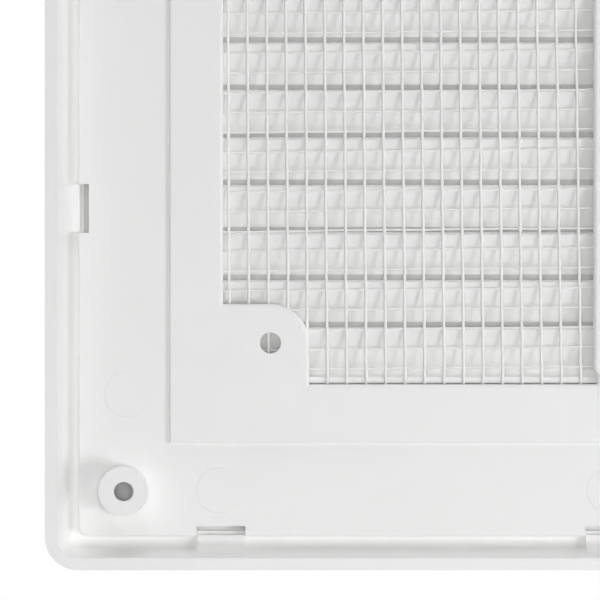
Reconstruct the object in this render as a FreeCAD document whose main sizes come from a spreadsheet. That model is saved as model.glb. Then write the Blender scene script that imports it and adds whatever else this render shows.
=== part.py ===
import FreeCAD, Part
import math
import os
import re
import Sketcher

doc = FreeCAD.newDocument("LouvreVent")
sheet = doc.addObject("Spreadsheet::Sheet", "Sizes")

# The vent hangs upright: X across, Z up, the wall's face is y = 0 and the front looks along -Y.
# A depth is measured from the wall's face towards the front, so a point at depth d has y = -d.
# All lengths are in millimetres and the angles in degrees.
driving_sizes = {
    "overall_width": 250.0,
    "overall_height": 250.0,
    # front cover: shallow tray with a rounded front edge and a hollow cove behind the rim
    "cover_depth": 12.5,
    "cover_corner": 7.3,
    "cover_edge_round": 6.0,
    "rim_land": 2.65,
    "cove_width": 4.2,
    "cove_round": 2.6,
    "face_thickness": 2.5,
    # louvre field of the cover
    "field_side_clear": 0.7,
    "field_end_cover": 1.6,
    "field_wall": 1.3,
    "blade_pitch_aim": 10.5,
    "blade_gap": 1.24,
    "blade_thickness": 1.6,
    "blade_overlap": 1.39,
    "sill_gap": 1.7,
    "top_blade_cover": 4.37,
    "blade_lip_height": 3.0,
    "blade_lip_thickness": 1.0,
    "blade_lip_recess": 0.3,
    "spine_thickness": 2.0,
    "spine_recess": 1.0,
    # rear frame: plate with a skirt, carrying the raised panel with its two windows
    "frame_clearance": 0.3,
    "frame_corner": 2.0,
    "frame_edge_round": 0.5,
    "skirt_thickness": 1.2,
    "skirt_height": 3.5,
    "plate_thickness": 1.5,
    "flange_side": 20.1,
    "flange_end": 20.65,
    "panel_rise": 1.0,
    "panel_thickness": 1.5,
    "panel_wall": 1.5,
    "panel_edge_round": 0.6,
    "border_side": 12.0,
    "border_end": 13.1,
    "window_bar": 7.3,
    "bar_neck": 0.75,
    "bar_neck_slope": 1.1,
    "bar_neck_length": 2.2,
    "window_edge_round": 0.9,
    "lip_thickness": 1.2,
    "lip_height": 0.5,
    "gusset_side": 19.1,
    "gusset_end": 17.8,
    "gusset_round": 8.6,
    "gusset_hole": 4.7,
    # screw bosses at the corners of the rear frame
    "boss_inset": 10.2,
    "boss_diameter": 10.9,
    "boss_draft": 1.0,
    "screw_hole": 4.2,
    "screw_hole_chamfer": 0.25,
    "head_bore": 8.0,
    "head_seat": 2.0,
    # latches: lugs of the cover that hook over strips of the frame's skirt
    "latch_length": 10.4,
    "latch_end_clearance": 0.2,
    "latch_side_offset": 45.1,
    "latch_end_offset": 86.2,
    "latch_overlap": 0.3,
    "latch_clearance": 0.1,
    "latch_strip": 1.1,
    "latch_nose": 0.8,
    "latch_nose_land": 1.0,
    "root_depth": 1.0,
    "root_round": 1.5,
    "latch_stem_clearance": 0.4,
    "notch_reach": 2.33,
    # insect net: one wall with bars both ways, ridged along the upright ones
    "net_thickness": 0.6,
    "net_overlap": 5.7,
    "net_bar": 1.0,
    "net_ridge": 0.15,
}

net_columns = 10
net_rows = 12

# Sizes that follow from the driving ones. Frame and cover share the same outline values.
derived_sizes = {
    "half_width": "overall_width / 2",
    "half_height": "overall_height / 2",
    "floor_depth": "cover_depth - face_thickness",
    "cove_foot": "rim_land + cove_width",
    "cove_rise": "floor_depth - cove_round",
    "cove_sweep": "(cove_width ^ 2 + cove_rise ^ 2 - cove_round ^ 2) / (2 * (cove_width - cove_round))",
    "plate_depth": "floor_depth - skirt_height",
    "panel_depth": "plate_depth - panel_rise",
    "frame_margin": "cove_foot + frame_clearance",
    "frame_half_width": "half_width - frame_margin",
    "frame_half_height": "half_height - frame_margin",
    "panel_half_width": "frame_half_width - flange_side",
    "panel_half_height": "frame_half_height - flange_end",
    "window_half_width": "panel_half_width - border_side",
    "window_half_height": "panel_half_height - border_end",
    "net_depth": "panel_depth + panel_thickness + lip_height",
    "blade_depth": "net_depth + net_thickness",
    "field_half_width": "window_half_width + field_side_clear",
    "field_half_height": "window_half_height - field_end_cover",
    "blade_stack": "2 * field_half_height - sill_gap + blade_gap + top_blade_cover",
    "boss_centre_x": "frame_half_width - boss_inset",
    "boss_centre_z": "frame_half_height - boss_inset",
    "gusset_edge_x": "window_half_width - gusset_side",
    "gusset_edge_z": "window_half_height - gusset_end",
    "gusset_centre_x": "gusset_edge_x + gusset_round",
    "gusset_centre_z": "gusset_edge_z + gusset_round",
    "strip_depth": "floor_depth - latch_strip",
    "catch_depth": "strip_depth - latch_clearance",
    "nose_depth": "catch_depth - latch_nose",
    "nose_reach": "frame_margin + latch_overlap",
    "stem_reach": "frame_margin - latch_stem_clearance",
    "root_foot": "nose_reach - latch_nose_land",
    "root_width": "root_foot - rim_land",
    "root_rise": "nose_depth - root_depth - root_round",
    "root_sweep": "(root_width ^ 2 + root_rise ^ 2 - root_round ^ 2) / (2 * (root_width - root_round))",
    "notch_length": "latch_length + 2 * latch_end_clearance",
}

functions = ("sin", "cos", "tan")


def bound(formula):
    """The formula with each size's name pointing at its cell in the sheet."""
    def point(word):
        return word.group() if word.group() in functions else "Sizes." + word.group()
    return re.sub(r"[a-z_]{3,}", point, formula)


def value(formula):
    """The number that a formula of sizes gives now."""
    return float(sheet.evalExpression(formula))


def enter_sizes(name_column, size_column, sizes):
    """Writes sizes or formulas of sizes into two columns of the sheet and names their cells."""
    for row, (alias, content) in enumerate(sizes.items(), 1):
        sheet.set(name_column + str(row), alias)
        sheet.set(size_column + str(row), "=%s" % content)
        sheet.setAlias(size_column + str(row), alias)
    doc.recompute()


def bind(feature, **formulas):
    """Ties properties of a feature to formulas of sizes."""
    for name, formula in formulas.items():
        feature.setExpression(name, bound(formula))


def new_body(label):
    body = doc.addObject("PartDesign::Body", label)
    body.Label = label
    return body


def plane_of(body, role):
    return next(item for item in body.Origin.OriginFeatures if item.Role == role)


def new_sketch(body, name, role, **offsets):
    """A sketch on one of the body's own planes, moved by formulas along the plane's own x, y and z."""
    sketch = body.newObject("Sketcher::SketchObject", name)
    sketch.AttachmentSupport = [(plane_of(body, role), "")]
    sketch.MapMode = "FlatFace"
    for axis, formula in offsets.items():
        sketch.setExpression("AttachmentOffset.Base." + axis, bound(formula))
    return sketch


def lock(sketch, geometry, end, place):
    """Holds a point of the sketch at two formulas, measured from the sketch's origin."""
    for kind, formula in zip(("DistanceX", "DistanceY"), place):
        number = sketch.addConstraint(
            Sketcher.Constraint(kind, -1, 1, geometry, end, value(formula)))
        sketch.setExpression("Constraints[%d]" % number, bound(formula))


def vector(place):
    return FreeCAD.Vector(value(place[0]), value(place[1]), 0)


def outline(sketch, corners, arcs=None):
    """A closed outline through the corners. arcs gives, for the side that starts at a corner of that
    number, the centre and radius of the round stretch that takes the straight side's place."""
    arcs = arcs or {}
    count = len(corners)
    sides = []
    for number, start in enumerate(corners):
        first = vector(start)
        last = vector(corners[(number + 1) % count])
        if number in arcs:
            centre = vector(arcs[number][0])
            angles = [math.atan2(p.y - centre.y, p.x - centre.x) for p in (first, last)]
            turns_left = (angles[1] - angles[0]) % (2 * math.pi) < math.pi
            if not turns_left:
                angles.reverse()
            circle = Part.Circle(centre, FreeCAD.Vector(0, 0, 1), value(arcs[number][1]))
            side = sketch.addGeometry(Part.ArcOfCircle(circle, angles[0], angles[1]))
            sides.append((side, 1, 2) if turns_left else (side, 2, 1))
            radius = sketch.addConstraint(
                Sketcher.Constraint("Radius", side, value(arcs[number][1])))
            sketch.setExpression("Constraints[%d]" % radius, bound(arcs[number][1]))
        else:
            side = sketch.addGeometry(Part.LineSegment(first, last))
            sides.append((side, 1, 2))
    for number, (side, start, end) in enumerate(sides):
        before = sides[number - 1]
        sketch.addConstraint(Sketcher.Constraint("Coincident", before[0], before[2], side, start))
        lock(sketch, side, start, corners[number])
    return sides


def rectangle(sketch, left, right, low, high):
    outline(sketch, [(left, low), (right, low), (right, high), (left, high)])


def centred_rectangle(sketch, half_x, half_z):
    rectangle(sketch, "-(%s)" % half_x, half_x, "-(%s)" % half_z, half_z)


def rounded_rectangle(sketch, half_x, half_z, radius):
    """A rectangle about the sketch's origin with four round corners."""
    corners = []
    arcs = {}
    for sign_x, sign_z, along_first in (("", "-", True), ("", "", False), ("-", "", True), ("-", "-", False)):
        inner_x = "%s(%s - (%s))" % (sign_x, half_x, radius)
        inner_z = "%s(%s - (%s))" % (sign_z, half_z, radius)
        outer_x = "%s(%s)" % (sign_x, half_x)
        outer_z = "%s(%s)" % (sign_z, half_z)
        pair = [(inner_x, outer_z), (outer_x, inner_z)]
        arcs[len(corners)] = ((inner_x, inner_z), radius)
        corners += pair if along_first else pair[::-1]
    return outline(sketch, corners, arcs)


def circle(sketch, place, diameter):
    number = sketch.addGeometry(
        Part.Circle(vector(place), FreeCAD.Vector(0, 0, 1), value(diameter) / 2))
    lock(sketch, number, 3, place)
    size = sketch.addConstraint(Sketcher.Constraint("Diameter", number, value(diameter)))
    sketch.setExpression("Constraints[%d]" % size, bound(diameter))


def add(body, kind, name, sketch, length, towards_front=True, both_ways=False):
    """A pad or pocket of a sketch. On an upright plane the plane's own direction looks to the front,
    a pad follows it and a pocket goes against it, unless it is reversed."""
    feature = body.newObject("PartDesign::" + kind, name)
    feature.Profile = sketch
    bind(feature, Length=length)
    if both_ways:
        feature.SideType = "Symmetric"
    else:
        feature.Reversed = towards_front == (kind == "Pocket")
    return feature


def repeat(body, name, originals, axis, length, count):
    """Copies of features, spread evenly over a length along one of the body's axes."""
    pattern = body.newObject("PartDesign::LinearPattern", name)
    pattern.Originals = originals
    pattern.Direction = (plane_of(body, axis), [""])
    pattern.Occurrences = count
    bind(pattern, Length=length)
    body.Tip = pattern
    return pattern


def repeat_grid(body, name, originals, length_x, count_x, length_z, count_z):
    """Copies of features in a grid across X and up Z."""
    pattern = repeat(body, name, originals, "X_Axis", length_x, count_x)
    pattern.Direction2 = (plane_of(body, "Z_Axis"), [""])
    pattern.Occurrences2 = count_z
    bind(pattern, Length2=length_z)
    return pattern


def edges_of(feature, wanted):
    """The names of the feature's edges whose bounding box passes the test."""
    doc.recompute()
    return ["Edge%d" % number for number, edge in enumerate(feature.Shape.Edges, 1)
            if wanted(edge.BoundBox)]


def at_depth(box, formula):
    place = -value(formula)
    return abs(box.YMin - place) < 1e-4 and abs(box.YMax - place) < 1e-4


def within(box, half_x, half_z):
    reach_x = max(abs(box.XMin), abs(box.XMax))
    reach_z = max(abs(box.ZMin), abs(box.ZMax))
    return reach_x < value(half_x) + 1e-4 and reach_z < value(half_z) + 1e-4


def round_edges(body, name, feature, wanted, radius):
    fillet = body.newObject("PartDesign::Fillet", name)
    fillet.Base = (feature, edges_of(feature, wanted))
    bind(fillet, Radius=radius)
    return fillet


def make_front_cover():
    """One moulding: rounded tray, louvre blades in an open field, and the lugs of the latches."""
    body = new_body("front_cover")

    block = new_sketch(body, "CoverOutline", "XZ_Plane")
    rounded_rectangle(block, "half_width", "half_height", "cover_corner")
    pad = add(body, "Pad", "CoverBlock", block, "cover_depth")
    round_edges(body, "CoverFrontEdge", pad, lambda box: at_depth(box, "cover_depth"), "cover_edge_round")

    floor = new_sketch(body, "TrayOutline", "XZ_Plane")
    rounded_rectangle(floor, "half_width - cove_foot", "half_height - cove_foot",
                      "cover_corner - cove_foot")
    add(body, "Pocket", "Tray", floor, "floor_depth")

    # The cove is a long arc, upright at the rim, that runs into a short one, flat at the foot.
    path = new_sketch(body, "RimPath", "XZ_Plane")
    rounded_rectangle(path, "half_width - rim_land", "half_height - rim_land", "cover_corner - rim_land")
    section = new_sketch(body, "CoveSection", "XY_Plane")
    rim = "-half_width + rim_land"
    hub = "-half_width + cove_foot"
    joint = arc_joint("cove_width", "cove_rise", "cove_sweep", "cove_round")
    bend = (rim + " + " + joint[0], "-" + joint[1])
    outline(section, [(rim, "0"), (hub, "0"), (hub, "-floor_depth"), bend], {
        2: ((hub, "-cove_rise"), "cove_round"),
        3: ((rim + " + cove_sweep", "0"), "cove_sweep"),
    })
    cove = body.newObject("PartDesign::SubtractivePipe", "Cove")
    cove.Profile = section
    cove.Spine = path

    # Louvre field: a low wall round an opening through the face.
    wall = new_sketch(body, "FieldWallOutline", "XZ_Plane", z="blade_depth")
    centred_rectangle(wall, "field_half_width + field_wall", "field_half_height + field_wall")
    centred_rectangle(wall, "field_half_width", "field_half_height")
    add(body, "Pad", "FieldWall", wall, "floor_depth - blade_depth")
    opening = new_sketch(body, "FieldOpening", "XZ_Plane", z="floor_depth")
    centred_rectangle(opening, "field_half_width", "field_half_height")
    add(body, "Pocket", "Field", opening, "face_thickness")

    # A blade slopes from its square rear end down to a lip that hangs at the front.
    blade = new_sketch(body, "BladeSection", "YZ_Plane")
    low = "-field_half_height + sill_gap"
    top = low + " + blade_pitch - blade_gap"
    rise = "blade_thickness * sin(blade_angle)"
    run = "blade_thickness * cos(blade_angle)"
    front = "-(cover_depth - blade_lip_recess)"
    lip_rear = front + " + blade_lip_thickness"
    lip_foot = low + " - blade_lip_height"
    upper_end = top + " - (cover_depth - blade_lip_recess - blade_depth - %s) / tan(blade_angle)" % run
    nose = "-(blade_depth + (blade_pitch - blade_gap - %s) * tan(blade_angle))" % rise
    outline(blade, [
        ("-blade_depth", top + " - " + rise),
        ("-(blade_depth + %s)" % run, top),
        (front, upper_end),
        (front, lip_foot),
        (lip_rear, lip_foot),
        (lip_rear, low),
        (nose, low),
    ])
    first_blade = add(body, "Pad", "Blade", blade, "2 * field_half_width + field_wall", both_ways=True)
    repeat(body, "Blades", [first_blade], "Z_Axis", "blade_pitch * %d" % (blade_count - 1), blade_count)

    # What of the top blade stands above the field's wall comes off level with the tray's floor.
    waste = new_sketch(body, "TopBladeWaste", "YZ_Plane")
    rectangle(waste, "-floor_depth", "-net_depth", "field_half_height + field_wall",
              "field_half_height + field_wall + blade_pitch")
    add(body, "Pocket", "TopBladeTrim", waste, "2 * (field_half_width + field_wall)", both_ways=True)

    spine = new_sketch(body, "SpineSection", "XZ_Plane", z="blade_depth")
    centred_rectangle(spine, "spine_thickness / 2", "field_half_height + field_wall / 2")
    add(body, "Pad", "Spine", spine, "cover_depth - spine_recess - blade_depth")

    # Latch lugs, a pair on the left and right rims and three on the lower and upper rims.
    side_lug = new_sketch(body, "SideLugSection", "XY_Plane", z="-latch_side_offset")
    lug_outlines(side_lug, lambda sign, reach, depth: (
        "%s(half_width - (%s))" % (sign, reach), "-(%s)" % depth))
    side_pad = add(body, "Pad", "SideLug", side_lug, "latch_length", both_ways=True)
    repeat(body, "SideLugs", [side_pad], "Z_Axis", "2 * latch_side_offset", 2)
    end_lug = new_sketch(body, "EndLugSection", "YZ_Plane", z="-latch_end_offset")
    lug_outlines(end_lug, lambda sign, reach, depth: (
        "-(%s)" % depth, "%s(half_height - (%s))" % (sign, reach)))
    end_pad = add(body, "Pad", "EndLug", end_lug, "latch_length", both_ways=True)
    repeat(body, "EndLugs", [end_pad], "X_Axis", "2 * latch_end_offset", 3)
    return body


def lug_outlines(sketch, place):
    """Two facing lugs: a root that curves out of the rim, a flat nose, and a stem on the tray's floor.
    place turns a side's sign, a reach from the cover's edge and a depth into a point of the sketch."""
    joint = arc_joint("root_width", "root_rise", "root_sweep", "root_round")
    section = [
        ("rim_land", "root_depth"),
        ("rim_land + " + joint[0], "root_depth + " + joint[1]),
        ("root_foot", "nose_depth"),
        ("nose_reach", "nose_depth"),
        ("nose_reach", "catch_depth"),
        ("stem_reach", "catch_depth"),
        ("stem_reach", "floor_depth"),
        ("rim_land", "floor_depth"),
    ]
    for sign in ("-", ""):
        outline(sketch, [place(sign, reach, depth) for reach, depth in section], {
            0: (place(sign, "rim_land + root_sweep", "root_depth"), "root_sweep"),
            1: (place(sign, "root_foot", "nose_depth - root_round"), "root_round"),
        })


def arc_joint(width, rise, sweep, foot_round):
    """Where a long arc, upright at its start, meets the short one that ends flat: how far in and down."""
    share = "%s / (%s - %s)" % (foot_round, sweep, foot_round)
    return (
        "(%s - (%s - %s) * %s)" % (width, sweep, width, share),
        "(%s + %s * %s)" % (rise, rise, share),
    )


def window_outline(sketch, side, grow):
    """One window, grown by a size: gussets at its outer corners, and a bar that narrows at its ends."""
    outer = "%s(window_half_width + %s)" % (side, grow)
    gusset = "%s(gusset_edge_x + %s)" % (side, grow)
    centre = "%sgusset_centre_x" % side
    bar = "%s(window_bar / 2 - %s)" % (side, grow)
    neck = "%s(window_bar / 2 - bar_neck - %s)" % (side, grow)
    arc = "gusset_round - (%s)" % grow
    corners = []
    arcs = {}
    for level, going_in in (("-", True), ("", False)):
        end = "%s(window_half_height + %s)" % (level, grow)
        shelf = "%s(gusset_edge_z + %s)" % (level, grow)
        shelf_centre = "%sgusset_centre_z" % level
        neck_start = "%s(window_half_height - bar_neck_length)" % level
        bar_end = "%s(window_half_height - bar_neck_length - bar_neck_slope)" % level
        stretch = [(outer, shelf), (centre, shelf), (gusset, shelf_centre), (gusset, end),
                   (neck, end), (neck, neck_start), (bar, bar_end)]
        gusset_side = len(corners) + (1 if going_in else 4)
        corners += stretch if going_in else stretch[::-1]
        arcs[gusset_side] = ((centre, shelf_centre), arc)
    outline(sketch, corners, arcs)


def make_rear_frame():
    """One moulding: plate with skirt and bosses, and a raised panel with two windows."""
    body = new_body("rear_frame")

    block = new_sketch(body, "FrameOutline", "XZ_Plane", z="plate_depth")
    rounded_rectangle(block, "frame_half_width", "frame_half_height", "frame_corner")
    pad = add(body, "Pad", "FrameBlock", block, "floor_depth - plate_depth")
    round_edges(body, "FrameRearEdge", pad, lambda box: at_depth(box, "plate_depth"), "frame_edge_round")
    hollow = new_sketch(body, "SkirtInside", "XZ_Plane", z="floor_depth")
    rounded_rectangle(hollow, "frame_half_width - skirt_thickness", "frame_half_height - skirt_thickness",
                      "frame_corner - skirt_thickness")
    add(body, "Pocket", "SkirtHollow", hollow, "floor_depth - plate_depth - plate_thickness",
        towards_front=False)

    raised = new_sketch(body, "PanelOutline", "XZ_Plane", z="panel_depth")
    centred_rectangle(raised, "panel_half_width", "panel_half_height")
    panel = add(body, "Pad", "RaisedPanel", raised, "plate_depth - panel_depth")
    round_edges(body, "PanelEdge", panel, lambda box: at_depth(box, "panel_depth"), "panel_edge_round")
    inside = new_sketch(body, "PanelInside", "XZ_Plane", z="plate_depth + plate_thickness")
    centred_rectangle(inside, "panel_half_width - panel_wall", "panel_half_height - panel_wall")
    add(body, "Pocket", "PanelHollow", inside,
        "plate_depth + plate_thickness - panel_depth - panel_thickness", towards_front=False)

    # Lips round the windows reach down to the net and hold it on the cover's field.
    lips = new_sketch(body, "WindowLips", "XZ_Plane", z="panel_depth + panel_thickness")
    openings = new_sketch(body, "WindowOpenings", "XZ_Plane", z="panel_depth")
    for side in ("-", ""):
        window_outline(lips, side, "lip_thickness")
        window_outline(openings, side, "0")
    add(body, "Pad", "Lips", lips, "lip_height")
    windows = add(body, "Pocket", "Windows", openings, "net_depth - panel_depth")
    round_edges(body, "WindowEdges", windows, is_window_edge, "window_edge_round")

    holes = new_sketch(body, "GussetHoles", "XZ_Plane", z="panel_depth")
    for side in ("-", ""):
        for level in ("-", ""):
            circle(holes, (side + "gusset_centre_x", level + "gusset_centre_z"), "gusset_hole")
    add(body, "Pocket", "GussetBores", holes, "panel_thickness")

    # A boss and its stepped bore are turned about their own axis and repeated in the four corners.
    boss = new_sketch(body, "BossSection", "XY_Plane", x="-boss_centre_x", z="-boss_centre_z")
    outline(boss, [
        ("0", "0"),
        ("boss_diameter / 2", "0"),
        ("boss_diameter / 2 + plate_depth * tan(boss_draft)", "-plate_depth"),
        ("0", "-plate_depth"),
    ])
    post = body.newObject("PartDesign::Revolution", "Boss")
    post.Profile = boss
    post.ReferenceAxis = (boss, ["V_Axis"])
    bore = new_sketch(body, "BoreSection", "XY_Plane", x="-boss_centre_x", z="-boss_centre_z")
    outline(bore, [
        ("0", "0"),
        ("screw_hole / 2 + screw_hole_chamfer", "0"),
        ("screw_hole / 2", "-screw_hole_chamfer"),
        ("screw_hole / 2", "-head_seat"),
        ("head_bore / 2", "-head_seat"),
        ("head_bore / 2", "-(plate_depth + plate_thickness)"),
        ("0", "-(plate_depth + plate_thickness)"),
    ])
    drill = body.newObject("PartDesign::Groove", "Bore")
    drill.Profile = bore
    drill.ReferenceAxis = (bore, ["V_Axis"])
    repeat_grid(body, "Bosses", [post, drill], "2 * boss_centre_x", 2, "2 * boss_centre_z", 2)

    # Notches through the plate and the top of the skirt leave the strips that the lugs catch.
    side_notch = new_sketch(body, "SideNotch", "XZ_Plane", z="plate_depth", y="-latch_side_offset")
    end_notch = new_sketch(body, "EndNotch", "XZ_Plane", z="plate_depth", x="-latch_end_offset")
    for sign in ("-", ""):
        beyond_x = "%s(frame_half_width + frame_clearance)" % sign
        inside_x = "%s(frame_half_width - notch_reach)" % sign
        rectangle(side_notch, beyond_x, inside_x, "-notch_length / 2", "notch_length / 2")
        beyond_z = "%s(frame_half_height + frame_clearance)" % sign
        inside_z = "%s(frame_half_height - notch_reach)" % sign
        rectangle(end_notch, "-notch_length / 2", "notch_length / 2", beyond_z, inside_z)
    side_cut = add(body, "Pocket", "SideNotchCut", side_notch, "strip_depth - plate_depth")
    repeat(body, "SideNotches", [side_cut], "Z_Axis", "2 * latch_side_offset", 2)
    end_cut = add(body, "Pocket", "EndNotchCut", end_notch, "strip_depth - plate_depth")
    repeat(body, "EndNotches", [end_cut], "X_Axis", "2 * latch_end_offset", 3)
    return body


def is_window_edge(box):
    return at_depth(box, "panel_depth") and within(box, "window_half_width", "window_half_height")


def make_insect_net():
    """One thin wall with a grid of gaps, and a ridge down each upright bar."""
    body = new_body("insect_net")
    half_x = "window_half_width + net_overlap"
    half_z = "window_half_height + net_overlap"
    step_x = "2 * window_half_width / %d" % net_columns
    step_z = "2 * window_half_height / %d" % net_rows

    wall = new_sketch(body, "NetOutline", "XZ_Plane", z="net_depth + net_ridge")
    centred_rectangle(wall, half_x, half_z)
    add(body, "Pad", "NetWall", wall, "net_thickness - net_ridge")
    gap = new_sketch(body, "GapOutline", "XZ_Plane", z="net_depth + net_ridge")
    rectangle(gap, "-window_half_width + net_bar / 2", "-window_half_width + %s - net_bar / 2" % step_x,
              "-window_half_height + net_bar / 2", "-window_half_height + %s - net_bar / 2" % step_z)
    first_gap = add(body, "Pocket", "Gap", gap, "net_thickness - net_ridge")
    repeat_grid(body, "Gaps", [first_gap],
                "%s * %d" % (step_x, net_columns - 1), net_columns,
                "%s * %d" % (step_z, net_rows - 1), net_rows)
    ridge = new_sketch(body, "RidgeOutline", "XZ_Plane", z="net_depth")
    rectangle(ridge, "-window_half_width - net_bar / 2", "-window_half_width + net_bar / 2",
              "-(%s)" % half_z, half_z)
    first_ridge = add(body, "Pad", "Ridge", ridge, "net_ridge")
    repeat(body, "Ridges", [first_ridge], "X_Axis", "2 * window_half_width", net_columns + 1)
    return body


enter_sizes("A", "B", driving_sizes)
enter_sizes("C", "D", derived_sizes)

# As many blades as come nearest to the pitch that is aimed at, evenly spread over the field.
blade_count = max(2, round(value("blade_stack / blade_pitch_aim")))
enter_sizes("E", "F", {
    "blade_pitch": "blade_stack / %d" % blade_count,
    "blade_angle": "atan((cover_depth - blade_lip_recess - blade_depth) / (blade_pitch + blade_overlap))",
})

bodies = [make_front_cover(), make_rear_frame(), make_insect_net()]
doc.recompute()

for item in doc.Objects:
    for state in item.State:
        if state in ("Invalid", "Error"):
            raise ValueError("%s is %s" % (item.Label, state))
for body in bodies:
    if body.Shape.isNull() or not body.Shape.isValid():
        raise ValueError("%s has no valid shape" % body.Label)

os.makedirs("parts", exist_ok=True)
for body in bodies:
    shape = body.Shape
    size = shape.BoundBox
    print("%-12s %d solid, %.0f mm3, %.1f x %.1f x %.1f mm" % (
        body.Label, len(shape.Solids), shape.Volume, size.XLength, size.YLength, size.ZLength))
    shape.exportStep("parts/%s.step" % body.Label)
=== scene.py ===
import math

import bpy
import numpy as np
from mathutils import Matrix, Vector


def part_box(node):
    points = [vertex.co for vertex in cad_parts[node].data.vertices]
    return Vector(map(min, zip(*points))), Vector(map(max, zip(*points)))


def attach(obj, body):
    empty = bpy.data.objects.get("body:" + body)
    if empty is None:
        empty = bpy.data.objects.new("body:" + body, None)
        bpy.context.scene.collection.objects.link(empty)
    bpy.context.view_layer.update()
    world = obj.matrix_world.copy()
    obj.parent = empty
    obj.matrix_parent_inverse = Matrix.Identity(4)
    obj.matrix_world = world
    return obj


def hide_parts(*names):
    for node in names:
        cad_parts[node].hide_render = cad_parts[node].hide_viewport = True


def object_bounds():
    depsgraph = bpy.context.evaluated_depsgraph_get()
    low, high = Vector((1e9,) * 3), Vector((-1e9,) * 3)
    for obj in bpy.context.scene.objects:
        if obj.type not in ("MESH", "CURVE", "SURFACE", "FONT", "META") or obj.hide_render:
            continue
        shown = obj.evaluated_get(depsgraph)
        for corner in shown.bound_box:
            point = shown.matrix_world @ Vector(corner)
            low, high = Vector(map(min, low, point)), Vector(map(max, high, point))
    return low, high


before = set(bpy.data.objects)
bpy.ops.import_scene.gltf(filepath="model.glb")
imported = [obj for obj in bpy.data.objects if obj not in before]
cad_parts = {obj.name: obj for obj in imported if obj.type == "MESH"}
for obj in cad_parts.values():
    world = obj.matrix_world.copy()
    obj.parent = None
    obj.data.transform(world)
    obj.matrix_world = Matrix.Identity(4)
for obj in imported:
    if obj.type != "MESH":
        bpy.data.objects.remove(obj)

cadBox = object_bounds()
mm = 0.001
fullWhite = (1.0, 1.0, 1.0, 1.0)


class Value:
    # One output socket of a node tree, with which sums are written as plain expressions
    def __init__(self, shader, socket):
        self.shader = shader
        self.socket = socket

    def sum(self, operation, first, second=None):
        operands = [first] if second is None else [first, second]
        inputs = dict(enumerate(operands))
        return self.shader.node("ShaderNodeMath", {"operation": operation}, inputs)

    def __add__(self, other):
        return self.sum("ADD", self, other)

    def __radd__(self, other):
        return self.sum("ADD", other, self)

    def __sub__(self, other):
        return self.sum("SUBTRACT", self, other)

    def __rsub__(self, other):
        return self.sum("SUBTRACT", other, self)

    def __mul__(self, other):
        return self.sum("MULTIPLY", self, other)

    def __rmul__(self, other):
        return self.sum("MULTIPLY", other, self)

    def __truediv__(self, other):
        return self.sum("DIVIDE", self, other)

    def __pow__(self, other):
        return self.sum("POWER", self, other)

    def __abs__(self):
        return self.sum("ABSOLUTE", self)

    def fraction(self):
        return self.sum("FRACT", self)

    def smaller(self, other):
        return self.sum("MINIMUM", self, other)

    def larger(self, other):
        return self.sum("MAXIMUM", self, other)


class Shader:
    # Builds the nodes of a material or a world
    def __init__(self, owner):
        owner.use_nodes = True
        self.tree = owner.node_tree
        self.tree.nodes.clear()

    def node(self, kind, settings=None, inputs=None, output=0):
        made = self.tree.nodes.new(kind)
        for name, setting in (settings or {}).items():
            setattr(made, name, setting)
        for name, given in (inputs or {}).items():
            if isinstance(given, Value):
                self.tree.links.new(given.socket, made.inputs[name])
            else:
                made.inputs[name].default_value = given
        return Value(self, made.outputs[output]) if made.outputs else made

    def objectPlace(self):
        return self.node("ShaderNodeTexCoord", output="Object")

    def parts(self, vector):
        split = self.node("ShaderNodeSeparateXYZ", inputs={"Vector": vector}).socket.node
        return [Value(self, split.outputs[axis]) for axis in "XYZ"]

    def noise(self, place, scale, detail=2.0):
        return self.node("ShaderNodeTexNoise", {"noise_dimensions": "3D"},
                         {"Vector": place, "Scale": scale, "Detail": detail})

    def ramp(self, given, low, high):
        # 0 up to low, 1 from high on, and a smooth step between
        return self.node("ShaderNodeMapRange", {"interpolation_type": "SMOOTHSTEP", "clamp": True},
                         {"Value": given, "From Min": low, "From Max": high})

    def blend(self, share, first, second):
        mix = self.node("ShaderNodeMix", {"data_type": "RGBA", "blend_type": "MIX"},
                        {"Factor": share}).socket.node
        for name, given in (("A", first), ("B", second)):
            slot = next(s for s in mix.inputs if s.name == name and s.type == "RGBA")
            if isinstance(given, Value):
                self.tree.links.new(given.socket, slot)
            else:
                slot.default_value = (*given, 1.0)
        return Value(self, next(s for s in mix.outputs if s.type == "RGBA"))

    def bump(self, height, distance, normal=None):
        inputs = {"Height": height, "Distance": distance, "Strength": 1.0}
        if normal is not None:
            inputs["Normal"] = normal
        return self.node("ShaderNodeBump", {}, inputs)

    def finish(self, kind, surface):
        self.node(kind, {}, {"Surface": surface})


def shaded(colour, factor):
    return tuple(min(1.0, c * factor) for c in colour)


plasticLook = {
    "colour": (0.93, 0.93, 0.925),
    "tintShare": 0.012,                 # how far the colour wanders
    "tintScale": 55.0,
    "tintDetail": 3.0,
    "roughness": 0.46,
    "roughnessWander": 0.06,
    "roughnessScale": 126.5,
    "index": 1.5,
    "grainScale": 2600.0,               # grain of the mould's surface, about 0.4 mm
    "grainHeight": 0.006 * mm,
    "flowScale": 38.0,                  # slow waves where the plastic has flowed and shrunk
    "flowHeight": 0.05 * mm,
}


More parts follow.
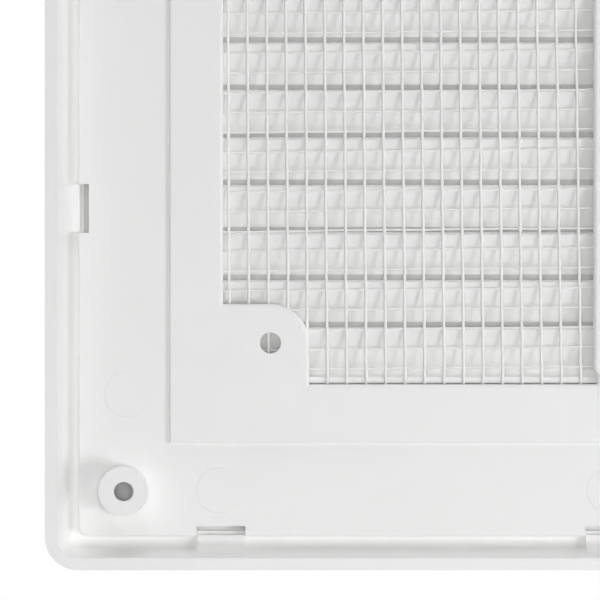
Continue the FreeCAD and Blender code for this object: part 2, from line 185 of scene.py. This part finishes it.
def whitePlastic(name, colour, roughness, relief=None, shade=None):
    # Satin moulding: a faint wander of tint and gloss, fine grain, and slow waves from shrinking.
    # relief and shade give a height and a share of painted shade over the surface.
    material = bpy.data.materials.new(name)
    shader = Shader(material)
    place = shader.objectPlace()
    look = plasticLook
    cloud = shader.noise(place, look["tintScale"], look["tintDetail"])
    tint = shader.blend(cloud, shaded(colour, 1 - look["tintShare"]), shaded(colour, 1 + look["tintShare"]))
    if shade:
        # painted shade: the rear of the lips between the blades is darkened in the colour
        tint = shader.blend(shade(shader, place), tint, gapShadeLook["colour"])
    patch = shader.noise(place, look["roughnessScale"])
    gloss = patch * (2 * look["roughnessWander"]) + (roughness - look["roughnessWander"])
    flow = shader.bump(shader.noise(place, look["flowScale"], 1.0), look["flowHeight"])
    normal = shader.bump(shader.noise(place, look["grainScale"]), look["grainHeight"], flow)
    if relief:
        normal = shader.bump(relief(shader, place), ejectorLook["height"], normal)
    surface = shader.node("ShaderNodeBsdfPrincipled", {}, {
        "Base Color": tint, "Roughness": gloss, "Normal": normal, "IOR": look["index"]})
    shader.finish("ShaderNodeOutputMaterial", surface)
    return material


gapShadeLook = {
    "colour": (0.59, 0.59, 0.585),      # painted shade on the rear of the blades' lips, seen through the gaps between the blades
    "pitch": 10.5569 * mm,
    "foot": -80.8 * mm,                 # where the lowest blade's lip begins to hang
    "lip": 3.0 * mm,                    # how far it hangs
    "soft": 0.02,                       # soft start of the lip, as a share of the pitch
    "face": -11.2 * mm,                 # depth of the lips' rear
    "band": 0.05 * mm,                  # how near to a limit counts as on it
    "halfWidth": 86.4 * mm,
    "halfHeight": 80.4 * mm,            # the lowest lip stays white
}


def gapShadeShare(shader, place):
    # Share of painted shade, 1 on the rear of the lips and 0 elsewhere: at the face's depth, within the lip's
    # share of a pitch, and inside the louvre field
    x, y, z = shader.parts(place)
    look = gapShadeLook
    turn = ((z - look["foot"]) / look["pitch"]).fraction()
    lipStart = 1.0 - look["lip"] / look["pitch"]
    onLip = shader.ramp(turn, lipStart - look["soft"], lipStart)
    onFace = 1.0 - shader.ramp(abs(y - look["face"]), look["band"], 2 * look["band"])
    beside = shader.ramp(abs(x), look["halfWidth"], look["halfWidth"] + look["band"])
    beyond = shader.ramp(abs(z), look["halfHeight"], look["halfHeight"] + look["band"])
    return onLip * onFace * (1.0 - beside.larger(beyond))


ejectorLook = {
    "radius": 5.0 * mm,
    "edge": 0.25 * mm,
    "height": 0.065 * mm,
    "plateFace": -6.5 * mm,             # the marks are on the rear face of the frame's plate only
    "plateBand": 0.3 * mm,
    "centres": ((107.0, 86.3), (86.6, 107.6), (0.0, 107.6)),   # in mm, the same in each quarter
}


def ejectorHeight(shader, place):
    # Height is 1 inside the nearest mark on the plate and 0 elsewhere, with a smooth step at the radius
    x, y, z = shader.parts(place)
    nearest = None
    for centreX, centreZ in ejectorLook["centres"]:
        acrossX = abs(x) - centreX * mm
        acrossZ = abs(z) - centreZ * mm
        away = (acrossX * acrossX + acrossZ * acrossZ) ** 0.5
        nearest = away if nearest is None else nearest.smaller(away)
    half = ejectorLook["edge"] / 2
    step = shader.ramp(nearest, ejectorLook["radius"] - half, ejectorLook["radius"] + half)
    onPlate = 1.0 - shader.ramp(abs(y - ejectorLook["plateFace"]), 0.0, ejectorLook["plateBand"])
    return (1.0 - step) * onPlate


def dressNodes():
    colour, roughness = plasticLook["colour"], plasticLook["roughness"]
    looks = {
        # the cover's plastic carries painted shade in the gaps between its blades
        "front_cover": whitePlastic("coverPlastic", colour, roughness, shade=gapShadeShare),
        "rear_frame": whitePlastic("framePlastic", colour, roughness, relief=ejectorHeight),
    }
    for name, material in looks.items():
        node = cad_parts[name]
        for slot in node.material_slots:
            slot.material = material
    print("nodes dressed", len(looks))


def newPiece(name, points, faces, material):
    mesh = bpy.data.meshes.new(name)
    mesh.vertices.add(len(points))
    mesh.vertices.foreach_set("co", np.asarray(points, dtype=np.float32).ravel())
    count, corners = faces.shape
    mesh.loops.add(count * corners)
    mesh.loops.foreach_set("vertex_index", faces.astype(np.int32).ravel())
    mesh.polygons.add(count)
    mesh.polygons.foreach_set("loop_start", np.arange(count, dtype=np.int32) * corners)
    mesh.polygons.foreach_set("use_smooth", np.ones(count, dtype=bool))
    mesh.update(calc_edges=True)
    mesh.validate()
    piece = bpy.data.objects.new(name, mesh)
    bpy.context.scene.collection.objects.link(piece)
    mesh.materials.append(material)
    return piece


netLook = {
    "colour": (0.93, 0.93, 0.92),
    "roughness": 0.38,
    "pitchX": 4.321 * mm,
    "firstX": 88.67 * mm,
    "uprights": 42,
    "pitchZ": 4.392 * mm,
    "firstZ": 86.24 * mm,
    "levels": 41,
    "uprightHalf": (0.35 * mm, 0.24 * mm),    # half width and half depth of a strand
    "levelHalf": (0.21 * mm, 0.20 * mm),
    "uprightDepth": 0.27 * mm,          # below the face of the net
    "levelDepth": 0.38 * mm,
    "uprightWaves": (9.1 * mm, 23 * mm, 61 * mm),
    "levelWaves": (13 * mm, 34 * mm, 80 * mm),
    "waveSize": (0.4, 1.0),
    "knotSwell": 0.16,
    "knotLength": 0.45 * mm,
    "wobble": 0.10 * mm,
    "lean": (0.0045, 0.00055),          # slant of the first upright strand, and what each further one adds
    "leanStrands": 18,                  # as far as the slant grows
    "tilt": -0.0105,                    # slant of the level strands
    "straightAt": (51 * mm, -70 * mm),  # where the slanting strands keep their even places
    "stationsPerPitch": 4,
    "sides": 6,
    "seed": 7,
}


def tubes(centre, across, deep, halfWidth, halfDepth, sides):
    # Closed tubes. centre[i, j] is station j of strand i, across and deep are the two directions of its
    # section, and a point is centre + across * halfWidth * cos(turn) + deep * halfDepth * sin(turn).
    # The first and last stations have no size, which closes the ends.
    strands, stations = centre.shape[:2]
    turn = np.arange(sides) * 2 * np.pi / sides
    ring = (across * np.cos(turn)[:, None]) * halfWidth[..., None, None]
    ring = ring + (deep * np.sin(turn)[:, None]) * halfDepth[..., None, None]
    points = (centre[:, :, None, :] + ring).reshape(-1, 3)
    i, j, k = np.meshgrid(np.arange(strands), np.arange(stations - 1), np.arange(sides), indexing="ij")
    after = (k + 1) % sides
    start = (i * stations + j) * sides
    faces = np.stack([start + k, start + sides + k, start + sides + after, start + after], axis=-1)
    return points, faces.reshape(-1, 4)


def wander(count, along, waves, random):
    # Mean of one sine for each wave's length, with a random phase and size for each strand
    total = np.zeros((count, along.size))
    for length in waves:
        phase = random.uniform(0, 2 * np.pi, (count, 1))
        size = random.uniform(*netLook["waveSize"], (count, 1))
        total += size * np.sin(along[None, :] * 2 * np.pi / length + phase)
    return total / len(waves)


def strandStations(low, high, pitch):
    # Even steps from one cut end to the other, with a doubled station at each end to close it
    steps = int(round((high - low) / pitch * netLook["stationsPerPitch"]))
    along = np.linspace(low, high, steps + 1)
    return np.concatenate([along[:1], along, along[-1:]])


def knots(along, crossings):
    # 1 at a crossing, falling off as a bell curve of the knot's length
    away = np.abs(along[:, None] - crossings[None, :]).min(axis=1)
    return np.exp(-(away / netLook["knotLength"]) ** 2)


def strandSet(places, slant, straightAt, reach, limits, step, crossings, half, depth, waves, axis, random):
    # Strands side by side along the axis (0 for X, 2 for Z), each running along the other one:
    # line = place + slant * (along - straightAt) + wobble, kept inside the limits of the net
    along = strandStations(*reach, step)
    shape = (places.size, along.size)
    line = places[:, None] + slant[:, None] * (along[None, :] - straightAt)
    line = line + netLook["wobble"] * wander(places.size, along, waves, random)
    margin = half[0] * (1 + netLook["knotSwell"])
    centre = np.zeros((*shape, 3))
    centre[..., axis] = np.clip(line, limits[0] + margin, limits[1] - margin)
    centre[..., 1] = depth
    centre[..., 2 - axis] = along[None, :]
    across = np.eye(3)[axis]
    deep = np.array([0, 1.0 if axis == 0 else -1.0, 0])
    ends = np.ones(along.size)
    ends[[0, -1]] = 0.0
    width = np.broadcast_to(half[0] * (1 + netLook["knotSwell"] * knots(along, crossings)) * ends, shape)
    thick = np.broadcast_to(half[1] * ends, shape)
    return tubes(centre, across, deep, width, thick, netLook["sides"])


def makeNet():
    net = netLook
    low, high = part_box("insect_net")
    random = np.random.default_rng(net["seed"])
    uprightX = net["firstX"] - net["pitchX"] * np.arange(net["uprights"])
    levelZ = net["firstZ"] - net["pitchZ"] * np.arange(net["levels"])
    first, more = net["lean"]
    lean = first + more * np.minimum(np.arange(net["uprights"]), net["leanStrands"])
    tilt = np.full(net["levels"], net["tilt"])
    straightX, straightZ = net["straightAt"]
    upright = strandSet(uprightX, lean, straightZ, (low.z, high.z), (low.x, high.x), net["pitchZ"], levelZ,
                        net["uprightHalf"], high.y - net["uprightDepth"], net["uprightWaves"], 0, random)
    level = strandSet(levelZ, tilt, straightX, (low.x, high.x), (low.z, high.z), net["pitchX"], uprightX,
                      net["levelHalf"], high.y - net["levelDepth"], net["levelWaves"], 2, random)
    points = np.concatenate([upright[0], level[0]])
    faces = np.concatenate([upright[1], level[1] + len(upright[0])])
    material = whitePlastic("netPlastic", net["colour"], net["roughness"])
    piece = newPiece("netStrands", points, faces, material)
    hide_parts("insect_net")
    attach(piece, "root")
    print("net", len(points), "points", len(faces), "faces")


photo = {
    "centre": (0.0687, 0.0, -0.0654),   # point of the wall plane in the middle of the frame
    "width": 0.1323,                    # what the frame spans across that plane
    "distance": 1.2,
    "sensor": 36.0,
    "clip": (0.05, 20.0),
}


def makeCamera():
    camera = bpy.data.cameras.new("camera")
    camera.sensor_width = photo["sensor"]
    camera.lens = photo["sensor"] * photo["distance"] / photo["width"]
    camera.clip_start, camera.clip_end = photo["clip"]
    holder = bpy.data.objects.new("camera", camera)
    x, y, z = photo["centre"]
    holder.location = (x, y + photo["distance"], z)
    holder.rotation_euler = (math.pi / 2, 0, math.pi)
    bpy.context.scene.collection.objects.link(holder)
    bpy.context.scene.camera = holder
    bpy.context.scene.view_settings.view_transform = "Standard"
    print("camera set")


lamps = {                               # direction from the middle of the photo, or of the vent for its front
    "keyLamp": {"direction": (-1.05, 1.0, -0.33), "distance": 1.3, "size": 0.42, "power": 5.0},
    "cameraLamp": {"direction": (0.0, 1.0, 0.0), "distance": 2.0, "size": 0.8, "power": 8.6},
    "topLamp": {"direction": (0.0, 0.8, 1.0), "distance": 1.3, "size": 0.9, "power": 1.6},
    "rightRim": {"direction": (-1.0, 0.36, 0.0), "distance": 1.2, "size": 0.9, "power": 2.1},
    "leftRim": {"direction": (1.0, 0.36, 0.0), "distance": 1.2, "size": 0.9, "power": 0.5},
    "topRim": {"direction": (0.0, 0.25, 1.0), "distance": 1.2, "size": 0.9, "power": 4.6},
    "frontLamp": {"direction": (-0.6, -1.0, 0.9), "distance": 1.5, "size": 0.8, "power": 12.0},
    "frontFill": {"direction": (0.8, -1.0, 0.2), "distance": 1.5, "size": 1.0, "power": 8.0},
}

worldLook = {
    "low": 0.01,                        # what reaches the vent from every side
    "behind": 0.01,                     # what comes from the side of the camera besides
    "focus": 3.0,
    "bounces": 12,                      # white plastic lights its own narrow slots
}


def areaLamp(name, look, target):
    # A soft disc that stands in the given direction from the target and faces it
    lamp = bpy.data.lights.new(name, "AREA")
    lamp.shape = "DISK"
    lamp.size = look["size"]
    lamp.energy = look["power"]
    towards = Vector(look["direction"]).normalized()
    holder = bpy.data.objects.new(name, lamp)
    holder.location = Vector(target) + towards * look["distance"]
    holder.rotation_mode = "QUATERNION"
    holder.rotation_quaternion = towards.to_track_quat("Z", "Y")
    bpy.context.scene.collection.objects.link(holder)


def seenDirectly(shader):
    # 1 for rays from the camera and for those that a gloss or glass sends on
    path = shader.node("ShaderNodeLightPath").socket.node
    camera, glossy, through = [
        Value(shader, path.outputs[name]) for name in ("Is Camera Ray", "Is Glossy Ray", "Is Transmission Ray")]
    return (camera + glossy + through).smaller(1.0)


def makeLights():
    world = bpy.data.worlds.new("studio")
    bpy.context.scene.world = world
    shader = Shader(world)
    x, y, z = shader.parts(shader.node("ShaderNodeTexCoord", output="Generated"))
    level = worldLook["low"] + worldLook["behind"] * y.larger(0.0) ** worldLook["focus"]
    soft = shader.node("ShaderNodeBackground", {}, {"Color": fullWhite, "Strength": level})
    white = shader.node("ShaderNodeBackground", {}, {"Color": fullWhite, "Strength": 1.0})
    both = shader.node("ShaderNodeMixShader", {}, {0: seenDirectly(shader), 1: soft, 2: white})
    shader.finish("ShaderNodeOutputWorld", both)
    for name, look in lamps.items():
        areaLamp(name, look, photo["centre"] if look["direction"][1] > 0 else (0, 0, 0))
    bpy.context.scene.cycles.diffuse_bounces = worldLook["bounces"]
    print("lights made")


floorLook = {
    "drop": 35 * mm,                    # below the lowest point of the vent
    "reach": 0.48,
    "colour": (0.90, 0.90, 0.90),
    "cloudScale": 30.0,
    "cloudDetail": 3.0,
    "cloudShare": 0.015,
    "glow": 0.4,                        # share of plain white near the vent, which pales the shadows
    "fadeFrom": 0.20,
    "fadeTo": 0.40,
    "rings": 24,
    "spokes": 96,
}


def makeFloor():
    # A level disc of rings and spokes: point = radius * (cos(turn), sin(turn)), radius from 0 to the reach
    look = floorLook
    radius = np.linspace(0, look["reach"], look["rings"] + 1)
    turn = np.arange(look["spokes"]) * 2 * np.pi / look["spokes"]
    level = float(cadBox[0].z) - look["drop"]
    points = np.stack([
        radius[:, None] * np.cos(turn)[None, :],
        radius[:, None] * np.sin(turn)[None, :],
        np.full((radius.size, turn.size), level)], axis=-1).reshape(-1, 3)
    i, j = np.meshgrid(np.arange(look["rings"]), np.arange(look["spokes"]), indexing="ij")
    after = (j + 1) % look["spokes"]
    inner = i * look["spokes"]
    outer = inner + look["spokes"]
    faces = np.stack([inner + j, outer + j, outer + after, inner + after], axis=-1)
    material = bpy.data.materials.new("floorPaper")
    shader = Shader(material)
    place = shader.objectPlace()
    x, y, z = shader.parts(place)
    away = (x * x + y * y) ** 0.5
    far = shader.ramp(away, look["fadeFrom"], look["fadeTo"])
    cloud = shader.noise(place, look["cloudScale"], look["cloudDetail"])
    tint = shader.blend(cloud, shaded(look["colour"], 1 - look["cloudShare"]),
                        shaded(look["colour"], 1 + look["cloudShare"]))
    paper = shader.node("ShaderNodeBsdfDiffuse", {}, {"Color": tint})
    white = shader.node("ShaderNodeEmission", {}, {"Color": fullWhite, "Strength": 1.0})
    share = far * (1.0 - look["glow"]) + look["glow"]
    fade = shader.node("ShaderNodeMixShader", {}, {0: share * seenDirectly(shader), 1: paper, 2: white})
    shader.finish("ShaderNodeOutputMaterial", fade)
    ground = newPiece("floor", points, faces.reshape(-1, 4), material)
    ground.visible_shadow = False       # the key lamp shines from below the floor
    print("floor laid")


makeCamera()
dressNodes()
makeNet()
makeLights()
makeFloor()
